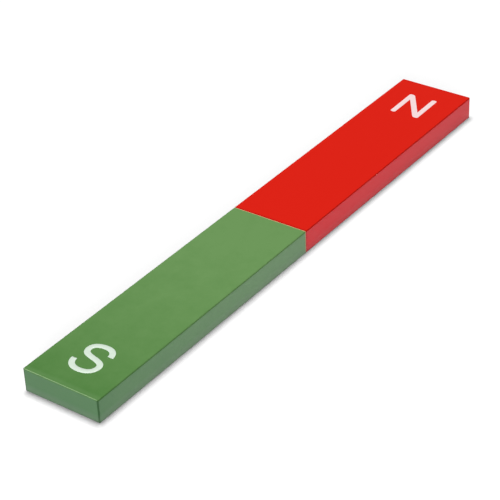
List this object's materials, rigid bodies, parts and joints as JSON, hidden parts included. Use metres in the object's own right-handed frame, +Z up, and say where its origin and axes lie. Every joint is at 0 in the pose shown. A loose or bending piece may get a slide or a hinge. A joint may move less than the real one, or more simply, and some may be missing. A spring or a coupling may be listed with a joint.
{
  "type": "block magnet",
  "caption": "Flat bar magnet, lacquered red over its north half and green over its south half, with a hairline of bare metal between them and a pole letter near each end.",
  "frame": {"origin": "middle of the underside, on the table", "axes": "+X along the bar to the red north-pole face, +Z up out of the lettered face, +Y across the bar, to the left of someone who looks along +X"},
  "size_m": [0.15, 0.02, 0.0058],
  "materials": {
    "red_lacquer": "gloss",
    "green_lacquer": "gloss",
    "bare_alloy": "ground",
    "white_ink": "satin"
  },
  "bodies": {
    "root": {"magnet_bar": "red_lacquer"}
  },
  "joints": []
}
